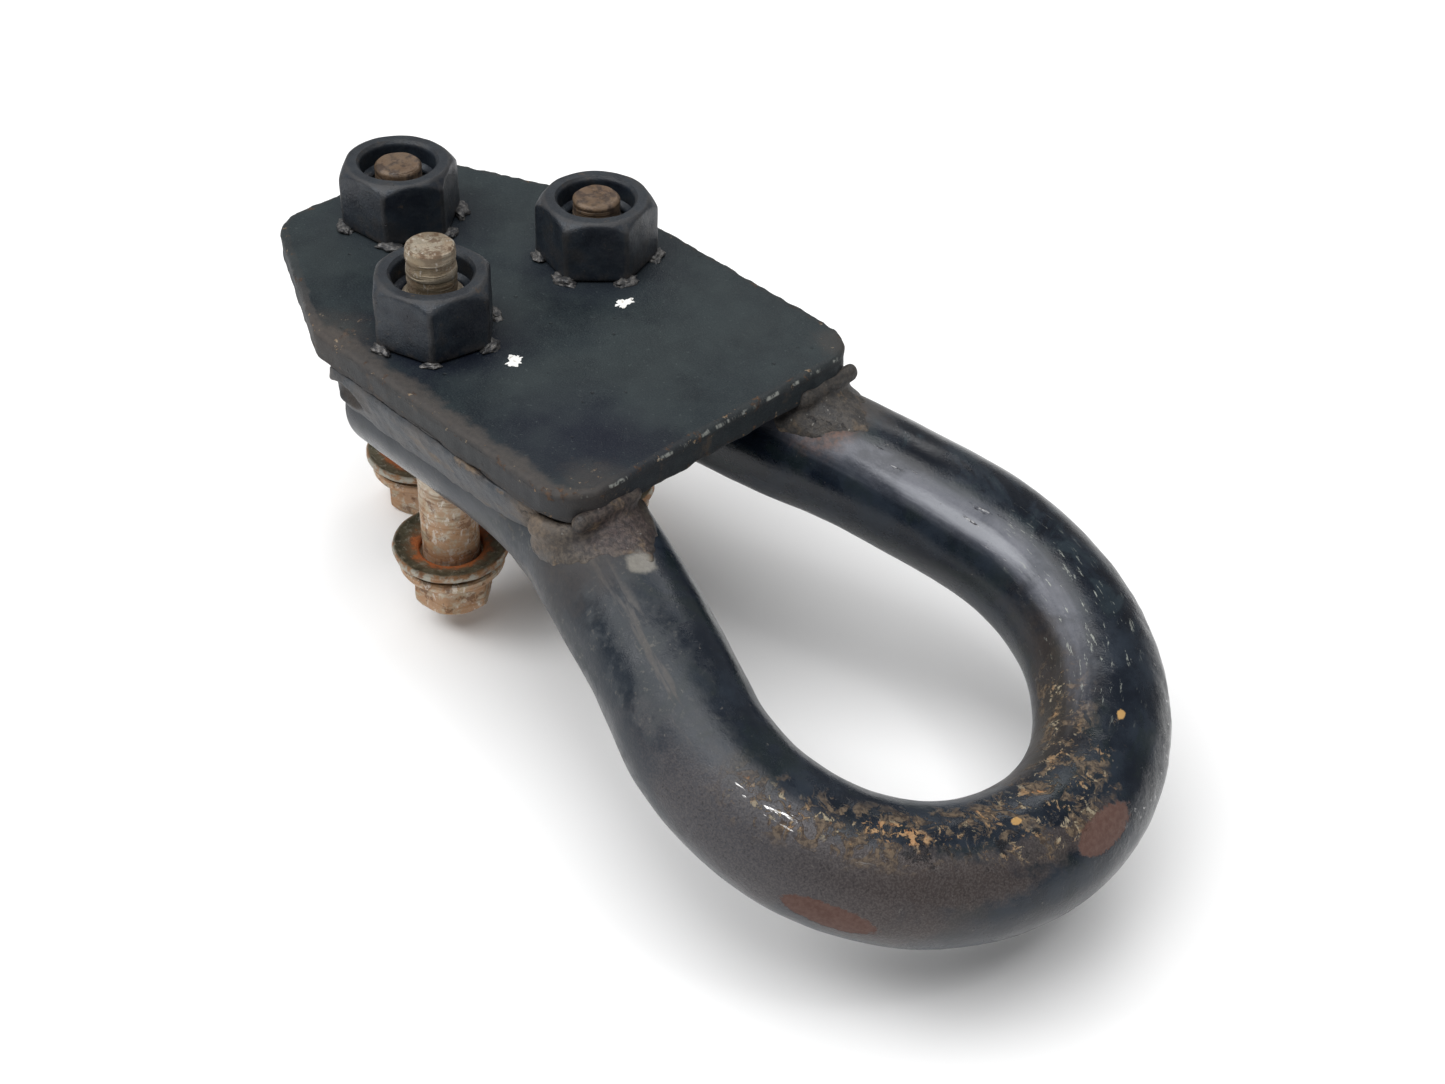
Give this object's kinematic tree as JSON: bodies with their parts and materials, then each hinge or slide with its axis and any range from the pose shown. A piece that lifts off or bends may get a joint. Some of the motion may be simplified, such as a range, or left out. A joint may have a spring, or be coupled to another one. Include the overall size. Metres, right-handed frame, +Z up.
{
  "type": "frame tow hook",
  "caption": "Closed-eye frame tow hook: a bent round bar welded under a tapered nut plate, clamped to a chassis rail by flange bolts.",
  "frame": {"origin": "on the plate's upper face, midway between the two front bolt axes", "axes": "+X towards the eye along the part's length, +Z up out of the plate on the nuts' side, +Y to the right-hand leg's side"},
  "size_m": [0.2081, 0.108, 0.0924],
  "materials": {
    "bar_paint": "worn gloss blue-black paint with rust flakes inside the eye",
    "plate_paint": "satin blue-black paint, chipped and rusty at the edges",
    "nut_finish": "satin blue-black paint worn grey on the corners",
    "bolt_plating": "dull zinc plating with orange rust",
    "washer_plating": "dull olive zinc plating with orange rust",
    "weld_metal": "grey-brown weld bead, rough, rust stained"
  },
  "bodies": {
    "hook": {"hook_bar": "bar_paint", "mounting_plate": "plate_paint", "weld_nut_left": "nut_finish", "weld_nut_right": "nut_finish", "weld_nut_tail": "nut_finish", "nut_tack_left_1": "weld_metal", "nut_tack_left_2": "weld_metal", "nut_tack_left_3": "weld_metal", "nut_tack_left_4": "weld_metal", "nut_tack_left_5": "weld_metal", "nut_tack_left_6": "weld_metal", "nut_tack_right_1": "weld_metal", "nut_tack_right_2": "weld_metal", "nut_tack_right_3": "weld_metal", "nut_tack_right_4": "weld_metal", "nut_tack_right_5": "weld_metal", "nut_tack_right_6": "weld_metal", "nut_tack_tail_1": "weld_metal", "nut_tack_tail_2": "weld_metal", "nut_tack_tail_3": "weld_metal", "nut_tack_tail_4": "weld_metal", "nut_tack_tail_5": "weld_metal", "nut_tack_tail_6": "weld_metal", "side_weld_left": "weld_metal", "front_weld_left": "weld_metal", "end_weld_left": "weld_metal", "side_weld_right": "weld_metal", "front_weld_right": "weld_metal", "end_weld_right": "weld_metal"},
    "washer_left": {"captive_washer_left": "washer_plating"},
    "bolt_left": {"bolt_left": "bolt_plating"},
    "washer_right": {"captive_washer_right": "washer_plating"},
    "bolt_right": {"bolt_right": "bolt_plating"},
    "washer_tail": {"captive_washer_tail": "washer_plating"},
    "bolt_tail": {"bolt_tail": "bolt_plating"}
  },
  "joints": [
    {"name": "bolt_left_travel", "type": "slide", "parent": "hook", "child": "washer_left", "axis": [0, 0, 1], "range_m": [-0.01225, 0.021]},
    {"name": "bolt_left_spin", "type": "hinge", "parent": "washer_left", "child": "bolt_left", "pos_m": [0, -0.0207, 0], "axis": [0, 0, 1], "range_deg": [-2525, 4325]},
    {"name": "bolt_right_travel", "type": "slide", "parent": "hook", "child": "washer_right", "axis": [0, 0, 1], "range_m": [-0.007, 0.02625]},
    {"name": "bolt_right_spin", "type": "hinge", "parent": "washer_right", "child": "bolt_right", "pos_m": [0, 0.0207, 0], "axis": [0, 0, 1], "range_deg": [-1445, 5405]},
    {"name": "bolt_tail_travel", "type": "slide", "parent": "hook", "child": "washer_tail", "axis": [0, 0, 1], "range_m": [-0.00525, 0.03325]},
    {"name": "bolt_tail_spin", "type": "hinge", "parent": "washer_tail", "child": "bolt_tail", "pos_m": [-0.037, 0, 0], "axis": [0, 0, 1], "range_deg": [-1085, 6845]}
  ],
  "couplings": [
    {"joint": "bolt_left_spin", "follows": "bolt_left_travel", "rad_per_m": 3590.4},
    {"joint": "bolt_right_spin", "follows": "bolt_right_travel", "rad_per_m": 3590.4},
    {"joint": "bolt_tail_spin", "follows": "bolt_tail_travel", "rad_per_m": 3590.4}
  ]
}
